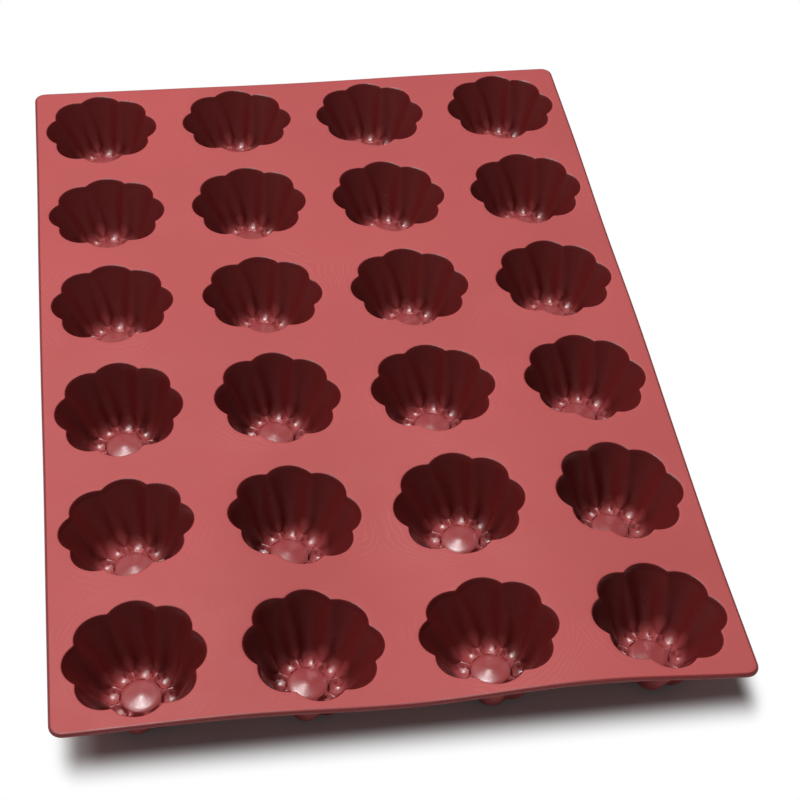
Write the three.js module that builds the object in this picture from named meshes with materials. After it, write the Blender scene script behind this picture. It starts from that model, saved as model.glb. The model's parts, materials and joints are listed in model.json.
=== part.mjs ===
// A flexible silicone baking mould for twenty-four small fluted cakes, about 600 x 400 x 40 mm:
// a flat deck with a grid of scalloped cups hanging under it, each with a low boss in its floor.
// Lengths are in millimetres. X runs across the deck, Y along it, and the cups stand on Z = 0.
import * as THREE from "three";
import { mergeVertices } from "three/addons/utils/BufferGeometryUtils.js";

// The grid of cups and the sheet that carries it
const COLUMNS = 4;
const ROWS = 6;
const CUP_LAND = 20; // deck left between the lobe tips of two neighbouring cups
const SIDE_MARGIN = 8; // deck left between the outer lobe tips and the long edges
const END_MARGIN = 7; // deck left between the outer lobe tips and the short edges
const DECK_THICKNESS = 3.5;
const DECK_CORNER_RADIUS = 8;
const DECK_EDGE_RADIUS = 1.2; // rounding along the upper and lower edge of the sheet
const MOST_EDGE_ROUNDING = 1 / 3; // of the sheet's thickness

// The hollow of one cup
const LOBES = 8;
const CUP_DEPTH = 37.8; // from the top of the deck to the floor
const WALL = 2.2; // of the cup's side, its floor and its boss
const RIM_TIP_RADIUS = 40.5; // out to the tips of the lobes, at the top of the deck
const RIM_FLUTE_DEPTH = 4.3; // from a lobe's tip in to the ridge beside it, at the rim
const FLOOR_FLUTE_DEPTH = 5; // the same where the wall runs down to the floor
const FLUTE_TURN = 10; // degrees that the flutes wind round the cup from rim to floor, clockwise from above
const LOBE_FILLET = 8; // between a lobe's wall and the floor
const RIDGE_FILLET = 3.5; // between a ridge and the floor

// The boss in the middle of the floor
const BOSS_TOP_RADIUS = 11.6;
const BOSS_SIDE_RUN = 0.9; // how far its side leans out from the shoulder to the foot
const BOSS_HEIGHT = 4; // from the floor to the shoulder
const BOSS_CROWN = 2; // rise of its domed top over the shoulder
const RIDGE_NECK = 4.5; // floor left between the boss and the foot of a ridge

// How finely the round forms are cut
const LOBE_STEPS = 4;
const FLOOR_STEPS = 2;
const CORNER_STEPS = 6;
const EDGE_STEPS = 2;

const SILICONE = { color: "#b9534f", roughness: 0.45, metalness: 0 };

const HEIGHT = CUP_DEPTH + WALL;
const DECK_UNDERSIDE = HEIGHT - DECK_THICKNESS;
const CUP_PITCH = 2 * RIM_TIP_RADIUS + CUP_LAND;
const DECK_WIDTH = (COLUMNS - 1) * CUP_PITCH + 2 * (RIM_TIP_RADIUS + SIDE_MARGIN);
const DECK_LENGTH = (ROWS - 1) * CUP_PITCH + 2 * (RIM_TIP_RADIUS + END_MARGIN);
const UP = new THREE.Vector3(0, 0, 1);
const HALF_LOBE = Math.PI / LOBES;
const BOSS_FOOT_RADIUS = BOSS_TOP_RADIUS + BOSS_SIDE_RUN;
const FLOOR_RIDGE_RADIUS = BOSS_FOOT_RADIUS + RIDGE_NECK;
const FLOOR_TIP_RADIUS = FLOOR_RIDGE_RADIUS + FLOOR_FLUTE_DEPTH;
const RIM_RIDGE_RADIUS = RIM_TIP_RADIUS - RIM_FLUTE_DEPTH;

// The upright section of the hollow along one direction: a straight wall that leans in from the rim to
// the floor, and the fillet between the two. Each place on it has a radius and a height.
function wallSection(rimRadius, floorRadius, fillet) {
  const lean = Math.atan2(rimRadius - floorRadius, CUP_DEPTH);
  const tangent = fillet * Math.tan((Math.PI / 2 - lean) / 2);
  const at = (height) => ({ radius: floorRadius + (height - WALL) * Math.tan(lean), height });
  return {
    lean,
    rim: at(HEIGHT),
    underDeck: at(DECK_UNDERSIDE),
    filletTop: at(WALL + tangent * Math.cos(lean)),
    filletFoot: { radius: floorRadius - tangent, height: WALL },
  };
}

const TIP = wallSection(RIM_TIP_RADIUS, FLOOR_TIP_RADIUS, LOBE_FILLET);
const RIDGE = wallSection(RIM_RIDGE_RADIUS, FLOOR_RIDGE_RADIUS, RIDGE_FILLET);

// How far the flutes have turned at a height.
function fluteTurn(height) {
  return (-THREE.MathUtils.degToRad(FLUTE_TURN) * (HEIGHT - height)) / CUP_DEPTH;
}

// A scalloped ring of points: circular lobes through their tips that meet at the ridges. The ring can be
// grown outwards, and lowered, to lie on the far side of the wall.
function lobedRing(place, steps, grow = 0, drop = 0) {
  const tip = TIP[place];
  const ridge = RIDGE[place];
  const run = tip.radius - ridge.radius * Math.cos(HALF_LOBE);
  const centre = (tip.radius ** 2 - ridge.radius ** 2) / (2 * run);
  const radius = tip.radius - centre + grow;
  const reach = HALF_LOBE + Math.asin(Math.min(1, (centre * Math.sin(HALF_LOBE)) / radius));
  const ring = [];
  for (let lobe = 0; lobe < LOBES; lobe++) {
    for (let step = 0; step < steps; step++) {
      const swing = reach * ((2 * step) / steps - 1);
      const height = THREE.MathUtils.lerp(tip.height, ridge.height, Math.abs(swing) / reach);
      const out = centre + radius * Math.cos(swing);
      const point = new THREE.Vector3(out, radius * Math.sin(swing), height - drop);
      ring.push(point.applyAxisAngle(UP, 2 * HALF_LOBE * lobe + fluteTurn(height)));
    }
  }
  return ring;
}

// A round ring of points, starting on the same ridge as the scalloped one round the floor.
function roundRing(radius, height) {
  const count = LOBES * FLOOR_STEPS;
  return Array.from({ length: count }, (_, i) => {
    const angle = fluteTurn(WALL) - HALF_LOBE + (2 * Math.PI * i) / count;
    return new THREE.Vector3(radius * Math.cos(angle), radius * Math.sin(angle), height);
  });
}

// Triangles between two rings, which may hold different numbers of points. The two are walked in step, each
// four-sided patch is split along its shorter diagonal, and a single point makes a fan.
function bridge(first, second) {
  const triangles = [];
  const firstSteps = first.length > 1 ? first.length : 0;
  const secondSteps = second.length > 1 ? second.length : 0;
  let i = 0;
  let j = 0;
  while (i < firstSteps || j < secondSteps) {
    const a = first[i % first.length];
    const b = second[j % second.length];
    const nextA = first[(i + 1) % first.length];
    const nextB = second[(j + 1) % second.length];
    const lead = (i + 0.5) * secondSteps - (j + 0.5) * firstSteps;
    const shorter = nextA.distanceTo(b) < nextB.distanceTo(a);
    const firstIsNext = i < firstSteps && (lead < 0 || (lead === 0 && shorter));
    if (firstIsNext || j >= secondSteps) {
      triangles.push(a, b, nextA);
      i += 1;
    } else {
      triangles.push(a, b, nextB);
      j += 1;
    }
  }
  return triangles;
}

// A skin stretched over a row of rings.
function skin(rings) {
  return rings.slice(1).flatMap((ring, i) => bridge(rings[i], ring));
}

function meshOf(name, triangles) {
  const loose = new THREE.BufferGeometry().setFromPoints(triangles);
  const geometry = mergeVertices(loose);
  geometry.computeVertexNormals();
  const mesh = new THREE.Mesh(geometry, new THREE.MeshStandardMaterial(SILICONE));
  mesh.name = name;
  return mesh;
}

// One cup, on its own axis. Its skin runs from the top of the boss out over the floor and up the inside,
// across the joint under the deck, then down the outside, over the foot and into the dimple under the boss.
function cupTriangles() {
  const shoulder = WALL + BOSS_HEIGHT;
  const crown = shoulder + BOSS_CROWN;
  const inside = [
    [new THREE.Vector3(0, 0, crown)],
    roundRing(BOSS_TOP_RADIUS, shoulder),
    roundRing(BOSS_FOOT_RADIUS, WALL),
    lobedRing("filletFoot", FLOOR_STEPS),
    lobedRing("filletTop", LOBE_STEPS),
    lobedRing("underDeck", LOBE_STEPS),
  ];

  const lean = TIP.lean;
  const sideLean = Math.atan2(BOSS_SIDE_RUN, BOSS_HEIGHT);
  const sideWall = WALL / Math.cos(sideLean) - WALL * Math.tan(sideLean);
  const outside = [
    lobedRing("underDeck", LOBE_STEPS, WALL / Math.cos(lean)),
    lobedRing("filletTop", LOBE_STEPS, WALL * Math.cos(lean), WALL * Math.sin(lean)),
    lobedRing("filletFoot", FLOOR_STEPS, 0, WALL),
    roundRing(BOSS_FOOT_RADIUS - sideWall, 0),
    roundRing(BOSS_TOP_RADIUS - sideWall, shoulder - WALL),
    [new THREE.Vector3(0, 0, crown - WALL)],
  ];
  return skin([...inside, ...outside]);
}

// The outline of the sheet, drawn in from its edge by an inset.
function sheetRing(inset, height) {
  const x = DECK_WIDTH / 2 - DECK_CORNER_RADIUS;
  const y = DECK_LENGTH / 2 - DECK_CORNER_RADIUS;
  const corners = [[x, y], [-x, y], [-x, -y], [x, -y]];
  const radius = DECK_CORNER_RADIUS - inset;
  return corners.flatMap(([cornerX, cornerY], quarter) =>
    Array.from({ length: CORNER_STEPS + 1 }, (_, i) => {
      const angle = (Math.PI / 2) * (quarter + i / CORNER_STEPS);
      return new THREE.Vector3(
        cornerX + radius * Math.cos(angle),
        cornerY + radius * Math.sin(angle),
        height,
      );
    }),
  );
}

// A flat face of the sheet with the cups' openings left out, facing up or down.
function sheetFace(outline, holes, facesUp) {
  const points = [outline, ...holes].flat();
  const flat = (ring) => ring.map((point) => new THREE.Vector2(point.x, point.y));
  const triangles = THREE.ShapeUtils.triangulateShape(flat(outline), holes.map(flat));
  return triangles.flatMap(([a, b, c]) => (facesUp ? [a, b, c] : [a, c, b]).map((i) => points[i]));
}

// The deck: a rounded sheet whose openings carry on the walls of the cups below.
function deckTriangles(centres) {
  const edge = Math.min(DECK_EDGE_RADIUS, DECK_THICKNESS * MOST_EDGE_ROUNDING);
  const quarter = Array.from({ length: EDGE_STEPS + 1 }, (_, i) => (Math.PI / 2) * (i / EDGE_STEPS));
  const upper = quarter.map((angle) =>
    sheetRing(edge * (1 - Math.sin(angle)), HEIGHT - edge * (1 - Math.cos(angle))),
  );
  const lower = quarter.map((angle) =>
    sheetRing(edge * (1 - Math.cos(angle)), DECK_UNDERSIDE + edge * (1 - Math.sin(angle))),
  );
  const openings = (place) =>
    centres.map((centre) => lobedRing(place, LOBE_STEPS).map((point) => point.add(centre)));
  const rims = openings("rim");
  const roots = openings("underDeck");
  return [
    sheetFace(upper[0], rims, true),
    skin([...upper, ...lower]),
    sheetFace(lower.at(-1), roots, false),
    ...rims.map((rim, i) => bridge(roots[i], rim)),
  ].flat();
}

const mould = new THREE.Group();
const places = [];
for (let row = 0; row < ROWS; row++) {
  for (let column = 0; column < COLUMNS; column++) {
    const x = (column - (COLUMNS - 1) / 2) * CUP_PITCH;
    const y = (row - (ROWS - 1) / 2) * CUP_PITCH;
    places.push({ name: `cup_r${row + 1}_c${column + 1}`, centre: new THREE.Vector3(x, y, 0) });
  }
}

mould.add(meshOf("deck", deckTriangles(places.map((place) => place.centre))));
for (const place of places) {
  const cup = meshOf(place.name, cupTriangles());
  cup.position.copy(place.centre);
  mould.add(cup);
}

export default mould;
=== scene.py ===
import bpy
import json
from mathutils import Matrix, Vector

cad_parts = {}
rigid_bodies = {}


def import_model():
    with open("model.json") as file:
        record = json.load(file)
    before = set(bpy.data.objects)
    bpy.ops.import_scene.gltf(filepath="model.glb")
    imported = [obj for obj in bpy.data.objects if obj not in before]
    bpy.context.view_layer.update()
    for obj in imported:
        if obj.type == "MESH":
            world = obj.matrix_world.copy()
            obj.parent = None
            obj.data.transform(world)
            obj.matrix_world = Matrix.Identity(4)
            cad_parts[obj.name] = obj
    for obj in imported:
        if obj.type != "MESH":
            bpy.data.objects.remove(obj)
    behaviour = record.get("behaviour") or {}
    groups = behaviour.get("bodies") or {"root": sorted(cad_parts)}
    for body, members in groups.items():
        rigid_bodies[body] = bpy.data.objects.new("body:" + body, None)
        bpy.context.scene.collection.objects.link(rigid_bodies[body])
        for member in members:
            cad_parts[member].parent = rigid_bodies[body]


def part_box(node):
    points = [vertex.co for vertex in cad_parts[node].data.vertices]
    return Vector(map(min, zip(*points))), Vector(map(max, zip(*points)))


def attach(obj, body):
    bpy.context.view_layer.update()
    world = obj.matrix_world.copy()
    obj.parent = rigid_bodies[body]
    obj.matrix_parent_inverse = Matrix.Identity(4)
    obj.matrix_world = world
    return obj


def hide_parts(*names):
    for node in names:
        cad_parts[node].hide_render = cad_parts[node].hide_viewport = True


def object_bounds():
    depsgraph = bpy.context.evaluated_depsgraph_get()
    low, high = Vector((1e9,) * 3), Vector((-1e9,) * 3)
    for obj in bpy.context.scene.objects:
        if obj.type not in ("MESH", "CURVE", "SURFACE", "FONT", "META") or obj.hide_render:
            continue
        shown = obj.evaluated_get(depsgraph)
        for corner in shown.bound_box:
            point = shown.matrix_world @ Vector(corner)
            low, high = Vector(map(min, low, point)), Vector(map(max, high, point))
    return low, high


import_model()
cad_box = [list(corner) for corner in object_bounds()]

import json
import math

import bmesh
import bpy
from mathutils import Vector

# The sheet: a flat slab of satin silicone that carries all the cups, moulded in one shot with them.
# One square of it is drawn round a scalloped opening, repeated over the grid, trimmed and rounded.
HALF_WIDTH, HALF_LENGTH, SHEET_TOP = cad_box[1]
SHEET_THICKNESS = 0.0035
SHEET_UNDERSIDE = SHEET_TOP - SHEET_THICKNESS
SHEET_CORNER = 0.008
TRIM_BAND, BAND_CUTS = 0.014, 4
EDGE_ROUNDING, EDGE_STEPS = 0.0016, 4
RIM_ROUNDING, RIM_STEPS = 0.0011, 4
SATIN_LIP = 0.0004
COLUMNS, ROWS = 4, 6
FIRST_CUP = sum(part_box("cup_r1_c1"), Vector()) / 2
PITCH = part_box("cup_r1_c2")[0].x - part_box("cup_r1_c1")[0].x

SILICONE_IOR = 1.41
CLOUD_SCALE, PATCH_SCALE, SPECK_SCALE, GRAIN_SCALE = 9, 45, 380, 2400
SPECK_TONE, SPECK_HEIGHT = 0.5, 0.35
GRAIN_STRENGTH, GRAIN_DEPTH = 0.2, 0.0002
SATIN_RED = 0.487, 0.088, 0.088
# The polished colour is far darker than the satin: partly the deeper look of the glossy finish, partly
# painted shade on the walls inside the cups.
POLISHED_SHADE_RED = 0.125, 0.011, 0.011
# The darker red of the upper half of the sheet's outer rounding: painted shade along its edge.
EDGE_SHADE_RED = 0.25, 0.034, 0.034
# The tool marks' paler colour is a painted sheen; their height is the real mark.
MARK_SHEEN_RED = 0.72, 0.26, 0.25, 1
MARK_STEP, MARK_WANDER = 0.0034, 0.024
MARK_REACH = 0.066, 0.05
MARK_SHEEN_SHARE, MARK_HEIGHT = 0.11, 0.4
WANDER_SCALE, WEAR_SCALE = 24, 19
# Painted light on the cups' floors: a paler colour out to a wavering radius round each cup's middle, fading
# towards the walls.
FLOOR_LIGHT_RED = 0.33, 0.055, 0.057, 1
FLOOR_LIGHT_REACH = 0.0235, 0.0175
FLOOR_LIGHT_SCALE, FLOOR_LIGHT_WANDER = 90, 0.003


def feed(tree, value, socket):
    """Links a socket to what another node puts out, or sets it to a plain value."""
    if isinstance(value, bpy.types.NodeSocket):
        tree.links.new(value, socket)
    else:
        socket.default_value = value


def new_node(tree, kind, **inputs):
    node = tree.nodes.new(kind)
    for name, value in inputs.items():
        feed(tree, value, node.inputs[name])
    return node


def reckon(tree, operation, *values):
    node = tree.nodes.new("ShaderNodeMath")
    node.operation = operation
    for value, socket in zip(values, node.inputs):
        feed(tree, value, socket)
    return node.outputs[0]


def noise(tree, place, scale, detail):
    return new_node(tree, "ShaderNodeTexNoise", Vector=place, Scale=scale, Detail=detail).outputs[0]


def ranged(tree, value, low, high, to_low=0.0, to_high=1.0):
    """Carries a value from one range over to another, and holds it there."""
    node = tree.nodes.new("ShaderNodeMapRange")
    for name, number in (("From Min", low), ("From Max", high), ("To Min", to_low), ("To Max", to_high)):
        node.inputs[name].default_value = number
    tree.links.new(value, node.inputs["Value"])
    return node.outputs[0]


def mixed(tree, blend, share, first, second):
    node = tree.nodes.new("ShaderNodeMix")
    node.data_type = "RGBA"
    node.blend_type = blend
    for name, value in (("Factor_Float", share), ("A_Color", first), ("B_Color", second)):
        feed(tree, value, next(socket for socket in node.inputs if socket.identifier == name))
    return next(socket for socket in node.outputs if socket.identifier == "Result_Color")


silicone_skin = bpy.data.node_groups.new("silicone skin", "ShaderNodeTree")
for name, kind in (
    ("Colour", "Color"), ("Mottle", "Float"), ("Roughness", "Float"), ("Patchiness", "Float")
):
    silicone_skin.interface.new_socket(name, in_out="INPUT", socket_type=f"NodeSocket{kind}")
for name, kind in (("Colour", "Color"), ("Roughness", "Float"), ("Height", "Float")):
    silicone_skin.interface.new_socket(name, in_out="OUTPUT", socket_type=f"NodeSocket{kind}")
given = silicone_skin.nodes.new("NodeGroupInput").outputs
result = silicone_skin.nodes.new("NodeGroupOutput").inputs
place = silicone_skin.nodes.new("ShaderNodeTexCoord").outputs["Object"]
clouds = ranged(silicone_skin, noise(silicone_skin, place, CLOUD_SCALE, 3), 0.3, 0.7, -1.0, 1.0)
specks = ranged(silicone_skin, noise(silicone_skin, place, SPECK_SCALE, 3), 0.25, 0.75, -1.0, 1.0)
tone = reckon(silicone_skin, "MULTIPLY_ADD", specks, SPECK_TONE, clouds)
tone = reckon(silicone_skin, "MULTIPLY_ADD", tone, given["Mottle"], 1.0)
feed(silicone_skin, mixed(silicone_skin, "MULTIPLY", 1.0, given["Colour"], tone), result["Colour"])
patches = ranged(silicone_skin, noise(silicone_skin, place, PATCH_SCALE, 4), 0.3, 0.7, -1.0, 1.0)
dullness = reckon(silicone_skin, "MULTIPLY_ADD", patches, given["Patchiness"], given["Roughness"])
feed(silicone_skin, dullness, result["Roughness"])
grain = noise(silicone_skin, place, GRAIN_SCALE, 2)
feed(silicone_skin, reckon(silicone_skin, "MULTIPLY_ADD", specks, SPECK_HEIGHT, grain), result["Height"])


def silicone(name, colour, mottle, roughness, patchiness, gloss):
    """A silicone finish: mottle is how uneven its colour is, and patchiness its roughness."""
    material = bpy.data.materials.new(name)
    material.use_nodes = True
    tree = material.node_tree
    skin = tree.nodes.new("ShaderNodeGroup")
    skin.node_tree = silicone_skin
    for socket, value in zip(skin.inputs, ((*colour, 1), mottle, roughness, patchiness)):
        socket.default_value = value
    surface = tree.nodes["Principled BSDF"]
    surface.inputs["IOR"].default_value = SILICONE_IOR
    surface.inputs["Specular IOR Level"].default_value = gloss
    relief = tree.nodes.new("ShaderNodeBump")
    relief.inputs["Strength"].default_value = GRAIN_STRENGTH
    relief.inputs["Distance"].default_value = GRAIN_DEPTH
    tree.links.new(skin.outputs["Colour"], surface.inputs["Base Color"])
    tree.links.new(skin.outputs["Roughness"], surface.inputs["Roughness"])
    tree.links.new(skin.outputs["Height"], relief.inputs["Height"])
    tree.links.new(relief.outputs["Normal"], surface.inputs["Normal"])
    return material, skin, surface, relief


def straight_line(tree, aside, along):
    """How far apart two places are that differ by so much aside and along."""
    square = reckon(tree, "MULTIPLY_ADD", aside, aside, reckon(tree, "MULTIPLY", along, along))
    return reckon(tree, "SQRT", square)


def from_cup(tree, place):
    """How far a place on the sheet or in a cup is from the middle of the nearest cup."""
    x, y, _ = new_node(tree, "ShaderNodeSeparateXYZ", Vector=place).outputs
    aside = reckon(tree, "WRAP", reckon(tree, "SUBTRACT", x, FIRST_CUP.x), PITCH / 2, -PITCH / 2)
    along = reckon(tree, "WRAP", reckon(tree, "SUBTRACT", y, FIRST_CUP.y), PITCH / 2, -PITCH / 2)
    return straight_line(tree, aside, along)


# Satin, with faint worn tool marks that run round the cups, raised a little in the bump and painted paler: a
# painted sheen on them.
satin, skin, surface, relief = silicone(
    "satin red silicone", SATIN_RED, mottle=0.035, roughness=0.66, patchiness=0.05, gloss=0.5
)
tree = satin.node_tree
place = tree.nodes.new("ShaderNodeTexCoord").outputs["Object"]
round_cup = from_cup(tree, place)
wander = reckon(tree, "MULTIPLY_ADD", noise(tree, place, WANDER_SCALE, 3), MARK_WANDER, round_cup)
wave = reckon(tree, "SINE", reckon(tree, "MULTIPLY", wander, 2 * math.pi / MARK_STEP))
ripple = ranged(tree, wave, 0.35, 1.0)
worn = ranged(tree, noise(tree, place, WEAR_SCALE, 3), 0.5, 0.7)
close_by = ranged(tree, round_cup, *MARK_REACH)
mark = reckon(tree, "MULTIPLY", ripple, reckon(tree, "MULTIPLY", worn, close_by))
# Painted sheen: where the tool marks run, the colour is painted paler towards the sheen colour.
painted_sheen = reckon(tree, "MULTIPLY", mark, MARK_SHEEN_SHARE)
marks_with_sheen = mixed(tree, "MIX", painted_sheen, skin.outputs["Colour"], MARK_SHEEN_RED)
tree.links.new(marks_with_sheen, surface.inputs["Base Color"])
raised = reckon(tree, "MULTIPLY_ADD", mark, MARK_HEIGHT, skin.outputs["Height"])
tree.links.new(raised, relief.inputs["Height"])

# Polished, as in the cups, with a darker colour that is partly painted shade on their walls, and painted
# light: a paler pool of colour on their floors.
polished, skin, surface, _ = silicone(
    "shaded polished red silicone", POLISHED_SHADE_RED, mottle=0.05, roughness=0.3, patchiness=0.03, gloss=0.9
)
tree = polished.node_tree
place = tree.nodes.new("ShaderNodeTexCoord").outputs["Object"]
# Painted light: the floors are painted paler, fading out with the distance from the cup's middle.
uneven = noise(tree, place, FLOOR_LIGHT_SCALE, 2)
outwards = reckon(tree, "MULTIPLY_ADD", uneven, FLOOR_LIGHT_WANDER, from_cup(tree, place))
floor_light = ranged(tree, outwards, *FLOOR_LIGHT_REACH)
floor_lit_colour = mixed(tree, "MIX", floor_light, skin.outputs["Colour"], FLOOR_LIGHT_RED)
tree.links.new(floor_lit_colour, surface.inputs["Base Color"])

# Darker, along the rounded outer edge of the sheet: painted shade, a dark line round its edge.
shaded_edge = silicone("shaded edge red silicone", EDGE_SHADE_RED, mottle=0.05, roughness=0.42, patchiness=0.04, gloss=0.7)[0]

CUP_FLOOR = 0.0022
RIM_TIP, FLOOR_TIP = 0.0405, 0.0220
RIM_RIDGE, FLOOR_RIDGE = 0.0362, 0.0170
RIDGE_NOSE, WALL_NOSE = 0.0012, 0.007
FLUTE_TURN = math.radians(10)
LOBES = 8
HALF_LOBE = math.pi / LOBES
NOSE_STEPS, LOBE_STEPS = 3, 12
OUTLINE_STEPS = 2 * NOSE_STEPS + LOBE_STEPS
SPECK, TOUCHING = 0.0001, 0.000002


def start_piece(name, size, place):
    """A new flat square, open for editing, to draw a piece from."""
    bpy.ops.object.select_all(action="DESELECT")
    bpy.ops.mesh.primitive_plane_add(size=size, location=place)
    bpy.ops.object.transform_apply(location=True)
    piece = bpy.context.object
    piece.name = piece.data.name = name
    bpy.ops.object.mode_set(mode="EDIT")
    return piece


def near(value, target):
    return abs(value - target) < SPECK


def pick(test):
    """Selects the points whose place passes a test, with the edges and faces between them."""
    bpy.ops.mesh.select_all(action="DESELECT")
    shape = bmesh.from_edit_mesh(bpy.context.object.data)
    for point in shape.verts:
        point.select = test(point.co)
    shape.select_flush(True)
    bmesh.update_edit_mesh(bpy.context.object.data)


def pick_edges(test):
    """Selects the edges whose two ends pass a test."""
    bpy.ops.mesh.select_mode(type="EDGE")
    bpy.ops.mesh.select_all(action="DESELECT")
    shape = bmesh.from_edit_mesh(bpy.context.object.data)
    for edge in shape.edges:
        edge.select = test(edge.verts[0], edge.verts[1])
    shape.select_flush(False)
    bmesh.update_edit_mesh(bpy.context.object.data)


def pick_open_edges():
    """Selects the edges that have a face on one side only."""
    bpy.ops.mesh.select_all(action="DESELECT")
    bpy.ops.mesh.select_non_manifold(extend=False, use_wire=False, use_boundary=True)


def keep_as(name):
    """Keeps the selected points under a name, to pick them again."""
    piece = bpy.context.object
    piece.vertex_groups.new(name=name)
    piece.vertex_groups.active_index = len(piece.vertex_groups) - 1
    bpy.ops.object.vertex_group_assign()


def give_finish(finish):
    """Gives the selected faces one of the piece's finishes."""
    piece = bpy.context.object
    piece.active_material_index = piece.data.materials.find(finish.name)
    bpy.ops.object.material_slot_assign()


def wall_at(height):
    """Radius of the lobes' tips and of the ridges on the straight wall of a cup."""
    share = (height - CUP_FLOOR) / (SHEET_TOP - CUP_FLOOR)
    return (
        FLOOR_TIP + (RIM_TIP - FLOOR_TIP) * share,
        FLOOR_RIDGE + (RIM_RIDGE - FLOOR_RIDGE) * share,
    )


def flute_turn(height):
    """The flutes wind round the cup on their way down: how far they have turned at a height."""
    return -FLUTE_TURN * (SHEET_TOP - max(height, CUP_FLOOR)) / (SHEET_TOP - CUP_FLOOR)


def nose_at(height):
    """How round a ridge is: crisp at the rim and at the floor, and soft half way down the wall."""
    share = (SHEET_TOP - height) / (SHEET_TOP - CUP_FLOOR)
    return RIDGE_NOSE + (WALL_NOSE - RIDGE_NOSE) * 4 * share * (1 - share)


def lobe_centre(tip, ridge, nose):
    """How far out a lobe's circle is centred, so that it runs into its neighbours over round noses."""
    outer, inner = tip + nose, ridge + nose
    return (outer**2 - inner**2) / (2 * (outer - inner * math.cos(HALF_LOBE)))


def set_point(x, y, height):
    """Adds a single point."""
    bpy.ops.mesh.primitive_circle_add(vertices=3, radius=SPECK, location=(x, y, height))
    bpy.ops.mesh.merge(type="CENTER")


def spin_on(x, y, turn, steps):
    """Carries the last point round an upright axis, leaving a curve of edges behind it."""
    bpy.ops.mesh.spin(steps=steps, angle=turn, center=(x, y, 0), axis=(0, 0, -1))


def draw_lobe(centre, radius, nose, height):
    """One lobe's outline from ridge to ridge: half a nose, the lobe's arc and half a nose."""
    turn = flute_turn(height)
    across = centre * math.sin(HALF_LOBE)
    out = centre * math.cos(HALF_LOBE) + math.sqrt((radius + nose) ** 2 - across**2)
    reach = math.atan2(out * math.sin(HALF_LOBE), out * math.cos(HALF_LOBE) - centre)
    first, last = turn - HALF_LOBE, turn + HALF_LOBE
    set_point((out - nose) * math.cos(first), (out - nose) * math.sin(first), height)
    spin_on(out * math.cos(first), out * math.sin(first), HALF_LOBE - reach, NOSE_STEPS)
    spin_on(centre * math.cos(turn), centre * math.sin(turn), 2 * reach, LOBE_STEPS)
    spin_on(out * math.cos(last), out * math.sin(last), HALF_LOBE - reach, NOSE_STEPS)
    bpy.ops.mesh.select_linked()


def copy_round():
    """Repeats what is selected for the other lobes and joins them all up."""
    rest = LOBES - 1
    bpy.ops.mesh.spin(
        steps=rest, dupli=True, angle=2 * HALF_LOBE * rest, center=(0, 0, 0), axis=(0, 0, -1)
    )
    bpy.ops.mesh.select_all(action="SELECT")
    bpy.ops.mesh.remove_doubles(threshold=TOUCHING)


# The outlines of one square and of its opening, at the top and at the underside.
sheet = start_piece("moulded_sheet", PITCH, (0, 0, SHEET_TOP))
for finish in (satin, polished, shaded_edge):
    sheet.data.materials.append(finish)
bpy.ops.mesh.delete(type="ONLY_FACE")
bpy.ops.mesh.select_all(action="SELECT")
bpy.ops.mesh.subdivide(number_cuts=LOBES * OUTLINE_STEPS // 4 - 1)
bpy.ops.mesh.duplicate_move(TRANSFORM_OT_translate={"value": (0, 0, -SHEET_THICKNESS)})
bpy.ops.mesh.select_all(action="SELECT")
keep_as("land")
for level in (SHEET_TOP, SHEET_UNDERSIDE):
    tip, ridge = wall_at(level)
    centre = lobe_centre(tip, ridge, nose_at(level))
    draw_lobe(centre, tip - centre, nose_at(level), level)
    copy_round()


def on_border(place):
    """Whether a place is on the outline of the square."""
    return near(max(abs(place.x), abs(place.y)), PITCH / 2)


# The faces between them, and the rounded rim, which stays satin on its upper half.
bpy.ops.mesh.select_mode(type="VERT")
pick(lambda place: near(place.z, SHEET_TOP))
bpy.ops.mesh.bridge_edge_loops()
pick(lambda place: near(place.z, SHEET_UNDERSIDE))
bpy.ops.mesh.bridge_edge_loops()
pick_edges(lambda a, b: not on_border(a.co) and not on_border(b.co))
bpy.ops.mesh.bridge_edge_loops()
bpy.ops.mesh.select_mode(type="VERT")
# The opening's walls and the rim's lower half take the polished finish, whose darker colour is partly
# painted shade.
pick(lambda place: not on_border(place))
give_finish(polished)
pick_edges(
    lambda a, b: near(a.co.z, SHEET_TOP) and near(b.co.z, SHEET_TOP)
    and not on_border(a.co) and not on_border(b.co)
)
bpy.ops.mesh.bevel(offset=RIM_ROUNDING, segments=RIM_STEPS, affect="EDGES", clamp_overlap=False)
give_finish(polished)
bpy.ops.mesh.select_mode(type="VERT")
pick(lambda place: place.z > SHEET_TOP - SATIN_LIP and not on_border(place))
give_finish(satin)
bpy.ops.mesh.select_all(action="SELECT")
bpy.ops.transform.translate(value=(FIRST_CUP.x, FIRST_CUP.y, 0))
bpy.ops.object.mode_set(mode="OBJECT")

for count, step in ((COLUMNS, (PITCH, 0, 0)), (ROWS, (0, PITCH, 0))):
    repeat = sheet.modifiers.new("repeat", "ARRAY")
    repeat.count = count
    repeat.use_relative_offset = False
    repeat.use_constant_offset = True
    repeat.constant_offset_displace = step
    repeat.use_merge_vertices = True
    repeat.merge_threshold = SPECK
    bpy.ops.object.modifier_apply(modifier=repeat.name)

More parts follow.
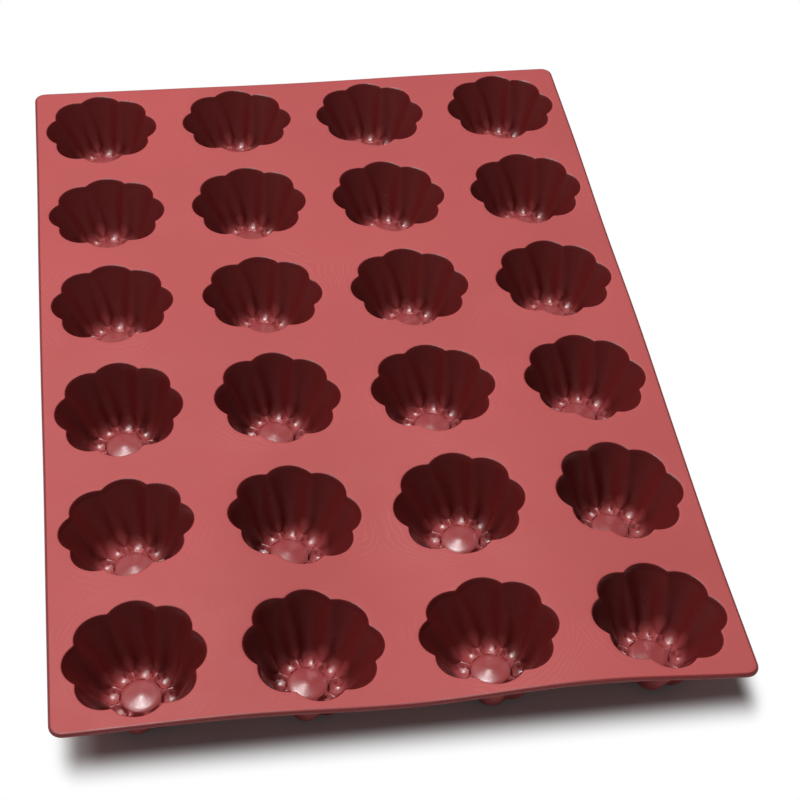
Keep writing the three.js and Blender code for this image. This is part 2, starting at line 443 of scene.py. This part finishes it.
# The outer squares are squeezed to the sheet's own size, less the rounding of its edge.
bpy.ops.object.mode_set(mode="EDIT")
bpy.ops.mesh.select_mode(type="VERT")
shape = bmesh.from_edit_mesh(sheet.data)
kept = shape.verts.layers.deform.verify()
land = sheet.vertex_groups["land"].index
for axis, grid_half, half in ((0, COLUMNS * PITCH / 2, HALF_WIDTH), (1, ROWS * PITCH / 2, HALF_LENGTH)):
    start = grid_half - TRIM_BAND
    squeeze = (half - EDGE_ROUNDING - start) / (grid_half - start)
    for point in shape.verts:
        beyond = abs(point.co[axis]) - start
        if point[kept].get(land, 0) > 0.5 and beyond > 0:
            point.co[axis] = math.copysign(start + beyond * squeeze, point.co[axis])
bmesh.update_edit_mesh(sheet.data)


def outward(place):
    """The nearest point of the sheet's core, a corner's radius in from its edge, and the way out from it."""
    core_x, core_y = HALF_WIDTH - SHEET_CORNER, HALF_LENGTH - SHEET_CORNER
    core = Vector((max(-core_x, min(core_x, place.x)), max(-core_y, min(core_y, place.y))))
    return core, (place.xy - core).normalized()


pick_open_edges()
shape = bmesh.from_edit_mesh(sheet.data)
for point in shape.verts:
    if point.select:
        core, way = outward(point.co)
        point.co.xy = core + way * (SHEET_CORNER - EDGE_ROUNDING)
kept = shape.verts.layers.deform.verify()
pick_edges(lambda a, b: abs(a[kept].get(land, 0) - b[kept].get(land, 0)) > 0.5)
bpy.ops.mesh.subdivide(number_cuts=BAND_CUTS)

# The outer edge is drawn out and round from the top and from the underside, and closed in the middle.
bpy.ops.mesh.select_mode(type="VERT")
for level, down in ((SHEET_TOP, -1), (SHEET_UNDERSIDE, 1)):
    pick_open_edges()
    shape = bmesh.from_edit_mesh(sheet.data)
    for point in shape.verts:
        point.select = point.select and near(point.co.z, level)
    shape.select_flush_mode()
    for step in range(EDGE_STEPS):
        before, after = (math.pi / 2 * (step + more) / EDGE_STEPS for more in (0, 1))
        drop = EDGE_ROUNDING * (math.cos(before) - math.cos(after))
        bpy.ops.mesh.extrude_edges_move(TRANSFORM_OT_translate={"value": (0, 0, down * drop)})
        shape = bmesh.from_edit_mesh(sheet.data)
        for point in shape.verts:
            if point.select:
                point.co.xy += outward(point.co)[1] * EDGE_ROUNDING * (math.sin(after) - math.sin(before))
        bmesh.update_edit_mesh(sheet.data)
pick_open_edges()
bpy.ops.mesh.bridge_edge_loops()
# The upper half of the outer rounding takes the darker edge colour: painted shade along the edge.
pick(
    lambda place: place.z > SHEET_TOP - EDGE_ROUNDING - TOUCHING
    and (place.xy - outward(place)[0]).length > SHEET_CORNER - EDGE_ROUNDING - TOUCHING
)
give_finish(shaded_edge)
bpy.ops.mesh.select_all(action="SELECT")
bpy.ops.mesh.normals_make_consistent(inside=False)
bpy.ops.object.mode_set(mode="OBJECT")
bpy.ops.object.vertex_group_remove(all=True)

# The slow waves of the floppy sheet, as lifts of a lattice's points by column and row, in millimetres.
MILLIMETRE = 0.001
CREASE = math.radians(40)
SAG_COLUMNS, SAG_ROWS = 5, 7
SAG = {
    (0, 0): -3, (2, 0): -4, (3, 0): 2, (4, 0): -5,
    (0, 1): -4, (1, 1): 4, (2, 1): -8, (4, 1): -7,
    (0, 2): -6, (2, 2): -3, (3, 2): 1.5, (4, 2): -4,
    (1, 3): 3, (0, 5): -4, (2, 5): 2, (4, 5): 3, (3, 6): 2, (4, 6): 3,
}
bpy.ops.object.select_all(action="DESELECT")
bpy.ops.object.add(type="LATTICE", location=(0, 0, SHEET_TOP / 2))
sag = bpy.context.object
sag.scale = (2 * HALF_WIDTH, 2 * HALF_LENGTH, SHEET_TOP)
sag.data.points_u, sag.data.points_v, sag.data.points_w = SAG_COLUMNS, SAG_ROWS, 2
sag.data.interpolation_type_u = sag.data.interpolation_type_v = "KEY_CATMULL_ROM"
sag.data.interpolation_type_w = "KEY_LINEAR"
for (column, row), lift in SAG.items():
    for layer in (0, 1):
        point = SAG_COLUMNS * (SAG_ROWS * layer + row) + column
        sag.data.points[point].co_deform.z += lift * MILLIMETRE / SHEET_TOP


def let_sag(piece):
    """Gives a piece the waves of a floppy sheet that stands on its cups, and smooth shading."""
    bpy.ops.object.select_all(action="DESELECT")
    piece.select_set(True)
    bpy.context.view_layer.objects.active = piece
    settle = piece.modifiers.new("sag", "LATTICE")
    settle.object = sag
    bpy.ops.object.modifier_apply(modifier=settle.name)
    bpy.ops.object.shade_smooth_by_angle(angle=CREASE)


let_sag(sheet)
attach(sheet, "root")
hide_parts("deck")

# The cups: twenty-four fluted pockets with thin walls that hang under the sheet, moulded in one with it.
# A single lobe is drawn from the boss in the floor up the inside and down the outside, and copied round.
CUP_WALL = 0.0022
POCKET = 0.008
GROOVE = CUP_FLOOR + 0.003
CREST_NOSE, ROUND_NOSE = 0.001, 0.003
BLEND = 0.024
RIDGE_FILLET = 0.006
OUTER_GROOVE = 0.0015
ROOT_FLARE, FLARE_TURNS = 0.002, (30, 60, 90)
BOSS_TOP, BOSS_FOOT = 0.0116, 0.0125
BOSS_HEIGHT, BOSS_CROWN = 0.004, 0.002
BOSS_ROUNDING = 0.0004
BOSS_TIP = 0.0008
BOSS_RINGS = 0.0016, 0.0025, 0.0042, 0.0064, 0.0087
FLOOR_STEPS = 5
FILLET_STEPS = 6
WALL_STEPS = 6

lean = math.atan2(RIM_TIP - FLOOR_TIP, SHEET_TOP - CUP_FLOOR)
ridge_lean = math.atan2(RIM_RIDGE - FLOOR_RIDGE, SHEET_TOP - CUP_FLOOR)
first_turn = math.acos(1 - (GROOVE - CUP_FLOOR) / POCKET)
last_turn = math.pi / 2 - lean
blend_up = BLEND * (math.cos(first_turn) - math.cos(last_turn))
blend_out = BLEND * (math.sin(last_turn) - math.sin(first_turn))
fillet_top = GROOVE + blend_up
pocket_out = wall_at(fillet_top)[0] - blend_out - POCKET * math.sin(first_turn)
ridge_foot = FLOOR_RIDGE - RIDGE_FILLET * math.tan((math.pi / 2 - ridge_lean) / 2)
ridge_fillet_top = CUP_FLOOR + RIDGE_FILLET * (1 - math.sin(ridge_lean))


def ridge_at(height):
    """Radius of a ridge, with the fillet at its foot."""
    if height >= ridge_fillet_top:
        return wall_at(height)[1]
    drop = CUP_FLOOR + RIDGE_FILLET - height
    return ridge_foot + math.sqrt(RIDGE_FILLET**2 - drop**2)


def cone(radius, top):
    """Height of the boss's blunt cone at a radius, under a given peak."""
    return top - BOSS_CROWN / BOSS_TOP * (math.hypot(radius, BOSS_TIP) - BOSS_TIP)


def draw_round(radius, height, turn):
    """A lobe's share of a round ring, turned like the lobes around it."""
    first = turn - HALF_LOBE
    set_point(radius * math.cos(first), radius * math.sin(first), height)
    spin_on(0, 0, 2 * HALF_LOBE, OUTLINE_STEPS)
    bpy.ops.mesh.select_linked()


def floor_levels(ring, tip, ridge, height):
    """Outlines across the floor, from the round ring at the boss out to the lobes' own."""
    for step in range(1, FLOOR_STEPS):
        share = step / FLOOR_STEPS
        reach, waist = ring + (tip - ring) * share, ring + (ridge - ring) * share
        nose = ROUND_NOSE + (CREST_NOSE - ROUND_NOSE) * share
        centre = lobe_centre(reach, waist, nose)
        yield centre, reach - centre, nose, height


def pick_kept(*names):
    """Selects the points that were kept under these names."""
    bpy.ops.mesh.select_mode(type="VERT")
    bpy.ops.mesh.select_all(action="DESELECT")
    groups = bpy.context.object.vertex_groups
    for name in names:
        groups.active_index = groups[name].index
        bpy.ops.object.vertex_group_select()


cup = start_piece("fluted_cup", SPECK, (0, 0, 0))
for finish in (polished, satin):
    cup.data.materials.append(finish)
bpy.ops.mesh.delete(type="VERT")
levels = []


def add_level(draw, *sizes):
    """Draws the next curve of the lobe and closes the skin between it and the one before."""
    draw(*sizes)
    levels.append(str(len(levels)))
    keep_as(levels[-1])
    if len(levels) > 1:
        pick_kept(*levels[-2:])
        bpy.ops.mesh.bridge_edge_loops()


# The boss and the floor round it.
shoulder = CUP_FLOOR + BOSS_HEIGHT
peak = shoulder + BOSS_CROWN
run = (BOSS_FOOT - BOSS_TOP) / (shoulder - GROOVE)
turn = flute_turn(GROOVE)
for radius in (*BOSS_RINGS, BOSS_TOP - BOSS_ROUNDING):
    add_level(draw_round, radius, cone(radius, peak), turn)
for out, up in ((-0.35, -0.15), (0, -0.6)):
    add_level(draw_round, BOSS_TOP + out * BOSS_ROUNDING, shoulder + up * BOSS_ROUNDING, turn)
for out, up in ((-run, 1), (0.25, 0.3), (1, 0)):
    add_level(draw_round, BOSS_FOOT + out * BOSS_ROUNDING, GROOVE + up * BOSS_ROUNDING, turn)
edge_tip = pocket_out + POCKET * math.sin(first_turn)
for sizes in floor_levels(BOSS_FOOT + BOSS_ROUNDING, edge_tip, ridge_at(GROOVE), GROOVE):
    add_level(draw_lobe, *sizes)

# The fillet and the wall, with the curves of the outside worked out beside those of the inside.
sweep = POCKET + CUP_WALL
under = sweep * (1 - math.cos(first_turn))
outside = []
for step in range(FILLET_STEPS + 1):
    share = step / FILLET_STEPS
    turn = first_turn + (last_turn - first_turn) * share
    up, out = math.cos(first_turn) - math.cos(turn), math.sin(turn) - math.sin(first_turn)
    nose = CREST_NOSE + (nose_at(fillet_top) - CREST_NOSE) * share
    tip, height = edge_tip + BLEND * out, GROOVE + BLEND * up
    centre = lobe_centre(tip, ridge_at(height), nose)
    add_level(draw_lobe, centre, tip - centre, nose, height)
    outer_tip = pocket_out + sweep * math.sin(first_turn) + (BLEND + CUP_WALL) * out
    groove = ROUND_NOSE + (OUTER_GROOVE - ROUND_NOSE) * share
    outside.append((centre, outer_tip - centre, groove, under + (BLEND + CUP_WALL) * up))
root_start = SHEET_UNDERSIDE - ROOT_FLARE
low = outside[-1][3]
for step in range(1, WALL_STEPS + 1):
    height = fillet_top + (SHEET_UNDERSIDE - fillet_top) * step / WALL_STEPS
    tip, ridge = wall_at(height)
    centre = lobe_centre(tip, ridge, nose_at(height))
    add_level(draw_lobe, centre, tip - centre, nose_at(height), height)
    level = low + (root_start - low) * step / WALL_STEPS
    tip, ridge = wall_at(level)
    centre = lobe_centre(tip, ridge, nose_at(level))
    outside.append((centre, tip - centre + CUP_WALL / math.cos(lean), OUTER_GROOVE, level))

# The outside, from its flare under the sheet down to the dimple beneath the boss.
seam = len(levels)
centre, radius, groove, level = outside[-1]
for turn in map(math.radians, FLARE_TURNS):
    flare = ROOT_FLARE * (1 - math.cos(turn))
    outside.append((centre, radius + flare, groove, level + ROOT_FLARE * math.sin(turn)))
for sizes in reversed(outside):
    add_level(draw_lobe, *sizes)
centre, radius, groove, _ = outside[0]
dimple = BOSS_FOOT - CUP_WALL / 2
waist = centre * math.cos(HALF_LOBE) - groove
waist += math.sqrt((radius + groove) ** 2 - (centre * math.sin(HALF_LOBE)) ** 2)
for sizes in reversed(list(floor_levels(dimple, centre + radius, waist, under))):
    add_level(draw_lobe, *sizes)
for radius in (dimple, *reversed(BOSS_RINGS)):
    add_level(draw_round, radius, under + cone(radius, peak) - cone(dimple, peak), flute_turn(under))

# The round pocket at the foot of each flute, inside and outside, and then the other lobes.
shape = bmesh.from_edit_mesh(cup.data)
for level, bottom, sweep in ((GROOVE, CUP_FLOOR, POCKET), (under, 0, POCKET + CUP_WALL)):
    turn = flute_turn(level)
    pocket_middle = pocket_out * Vector((math.cos(turn), math.sin(turn)))
    for point in shape.verts:
        away = (point.co.xy - pocket_middle).length
        above = point.co.z - level
        by_boss = point.co.xy.length < BOSS_FOOT + SPECK
        at_floor = -SPECK < above < SPECK + (BOSS_ROUNDING if by_boss else 0)
        if at_floor and away < sweep * math.sin(first_turn):
            point.co.z = above + bottom + sweep - math.sqrt(sweep**2 - away**2)
bmesh.update_edit_mesh(cup.data)
pick_kept(*levels[seam:])
give_finish(satin)
bpy.ops.mesh.select_all(action="SELECT")
copy_round()
bpy.ops.mesh.select_mode(type="VERT")
for level in (levels[0], levels[-1]):
    pick_kept(level)
    bpy.ops.mesh.edge_face_add()
    bpy.ops.mesh.poke()
bpy.ops.mesh.select_all(action="SELECT")
bpy.ops.mesh.normals_make_consistent(inside=False)
bpy.ops.object.mode_set(mode="OBJECT")
bpy.ops.object.vertex_group_remove(all=True)

# Each copy swings with the slope of the sheet above it and trails towards the near end,
# and its foot settles back towards the level of the table.
ARM = 0.05
TRAIL = 0.0025
SETTLED = 0.7
bpy.ops.object.add(type="LATTICE")
swing = bpy.context.object
swing.scale = (2 * RIM_TIP, 2 * RIM_TIP, SHEET_UNDERSIDE)
swing.data.interpolation_type_u = swing.data.interpolation_type_v = "KEY_LINEAR"
swing.data.interpolation_type_w = "KEY_LINEAR"

cups = []
for row in range(1, ROWS + 1):
    for column in range(1, COLUMNS + 1):
        node = f"cup_r{row}_c{column}"
        bpy.ops.object.select_all(action="DESELECT")
        cup.select_set(True)
        bpy.context.view_layer.objects.active = cup
        bpy.ops.object.duplicate(linked=False)
        copy = bpy.context.object
        copy.name = copy.data.name = f"fluted_{node}"
        low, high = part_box(node)
        copy.location = ((low.x + high.x) / 2, (low.y + high.y) / 2, 0)
        bpy.ops.object.transform_apply(location=True)
        swing.location = ((low.x + high.x) / 2, (low.y + high.y) / 2, SHEET_UNDERSIDE / 2)
        near_left, near_right, far_left, far_right = (
            SAG.get((column - 1 + right, row - 1 + far), 0) * MILLIMETRE
            for far in (0, 1) for right in (0, 1)
        )
        rise_x = (near_right + far_right - near_left - far_left) / 2 / (2 * HALF_WIDTH / COLUMNS)
        rise_y = (far_left + far_right - near_left - near_right) / 2 / (2 * HALF_LENGTH / ROWS)
        for corner in swing.data.points:
            if corner.co.z < 0:
                x, y, z = corner.co
                level_out = SETTLED * (rise_x * x + rise_y * y) * 2 * RIM_TIP
                corner.co_deform.x = x + ARM * rise_x / swing.scale.x
                corner.co_deform.y = y + (ARM * rise_y - TRAIL) / swing.scale.y
                corner.co_deform.z = z - level_out / swing.scale.z
        bpy.context.view_layer.update()
        lean_in = copy.modifiers.new("swing", "LATTICE")
        lean_in.object = swing
        bpy.ops.object.modifier_apply(modifier=lean_in.name)
        let_sag(copy)
        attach(copy, "root")
        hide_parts(node)
        cups.append(copy)
bpy.data.objects.remove(cup)
bpy.data.objects.remove(swing)
bpy.data.objects.remove(sag)

# The table: a plain white surface under the lowest cup, which takes the mould's soft shadow.
# It is blank white from a little way outside the mould, and throws back less light than it shows.
TABLE_SIDE = 60
BOUNCE_GREY = 0.4, 0.4, 0.4, 1
SHADE_GREY = 0.75, 0.75, 0.75, 1
WHITE = 1, 1, 1, 1
HAZE, BLANK = 0.015, 1.0
SHADE_SHIFT = 0.006
SIDE_FADE = -0.009, 0.009
END_FADE = -0.018, 0.009
bpy.ops.object.select_all(action="DESELECT")
lowest = min(corner[2] for piece in cups for corner in piece.bound_box)
bpy.ops.mesh.primitive_plane_add(size=TABLE_SIDE, location=(0, 0, lowest - SPECK))
table = bpy.context.object
table.name = "white_table"
white = bpy.data.materials.new("white table")
white.use_nodes = True
tree = white.node_tree
tree.nodes.remove(tree.nodes["Principled BSDF"])
paper = new_node(tree, "ShaderNodeBsdfDiffuse", Color=BOUNCE_GREY)
shade = new_node(tree, "ShaderNodeBsdfDiffuse", Color=SHADE_GREY)
haze = new_node(tree, "ShaderNodeEmission", Color=WHITE, Strength=HAZE)
shaded = tree.nodes.new("ShaderNodeAddShader")
tree.links.new(shade.outputs[0], shaded.inputs[0])
tree.links.new(haze.outputs[0], shaded.inputs[1])
blank = new_node(tree, "ShaderNodeEmission", Color=WHITE, Strength=BLANK)
place = tree.nodes.new("ShaderNodeTexCoord").outputs["Object"]
x, y, _ = new_node(tree, "ShaderNodeSeparateXYZ", Vector=place).outputs
x = reckon(tree, "ABSOLUTE", reckon(tree, "SUBTRACT", x, SHADE_SHIFT))
y = reckon(tree, "ABSOLUTE", y)
over_side = ranged(tree, x, *(HALF_WIDTH + margin for margin in SIDE_FADE))
over_end = ranged(tree, y, *(HALF_LENGTH + margin for margin in END_FADE))
beyond = tree.nodes.new("ShaderNodeMapRange")
beyond.interpolation_type = "SMOOTHSTEP"
tree.links.new(straight_line(tree, over_side, over_end), beyond.inputs["Value"])
sheet_white = tree.nodes.new("ShaderNodeMixShader")
tree.links.new(beyond.outputs[0], sheet_white.inputs[0])
tree.links.new(shaded.outputs[0], sheet_white.inputs[1])
tree.links.new(blank.outputs[0], sheet_white.inputs[2])
path = tree.nodes.new("ShaderNodeLightPath").outputs
seen = reckon(tree, "MAXIMUM", path["Is Glossy Ray"], path["Is Transmission Ray"])
seen = reckon(tree, "MAXIMUM", path["Is Camera Ray"], seen)
look = tree.nodes.new("ShaderNodeMixShader")
tree.links.new(seen, look.inputs[0])
tree.links.new(paper.outputs[0], look.inputs[1])
tree.links.new(sheet_white.outputs[0], look.inputs[2])
tree.links.new(look.outputs[0], tree.nodes["Material Output"].inputs["Surface"])
table.data.materials.append(white)

# The light: a lamp high up, a little behind the mould and to the left, and a large soft box on the left.
# Both are round and face the mould's middle, in a dim room.
LAMP, LAMP_WIDTH, LAMP_POWER = Vector((-0.33, 0.54, 2.45)), 0.6, 39
SOFT_BOX, SOFT_BOX_WIDTH, SOFT_BOX_POWER = Vector((-0.9, -0.15, 2.3)), 1.6, 27
ROOM_GLOW = 0.06
for name, place, width, power in (
    ("lamp", LAMP, LAMP_WIDTH, LAMP_POWER), ("soft_box", SOFT_BOX, SOFT_BOX_WIDTH, SOFT_BOX_POWER)
):
    bpy.ops.object.light_add(type="AREA", location=place)
    light = bpy.context.object
    light.name = name
    light.rotation_euler = (-place).to_track_quat("-Z", "Y").to_euler()
    light.data.shape = "DISK"
    light.data.size = width
    light.data.energy = power

room = bpy.data.worlds.new("pale room")
bpy.context.scene.world = room
room.use_nodes = True
room.node_tree.nodes["Background"].inputs["Color"].default_value = WHITE
room.node_tree.nodes["Background"].inputs["Strength"].default_value = ROOM_GLOW

# The camera: it stands off the near end, to the left of the mould's middle, and looks down along it.
# Its place, angles and lens were fitted to the outlines of the cups in the photograph.
EYE = (-0.14336, -0.93871, 0.88616)
LOOK = [math.radians(angle) for angle in (46.504, -2.666, -8.469)]
SENSOR, LENS = 36, 86.28
bpy.ops.object.camera_add(location=EYE, rotation=LOOK)
camera = bpy.context.object
camera.name = "camera"
camera.data.sensor_width = SENSOR
camera.data.lens = LENS
bpy.context.scene.camera = camera
bpy.context.scene.view_settings.view_transform = "Standard"
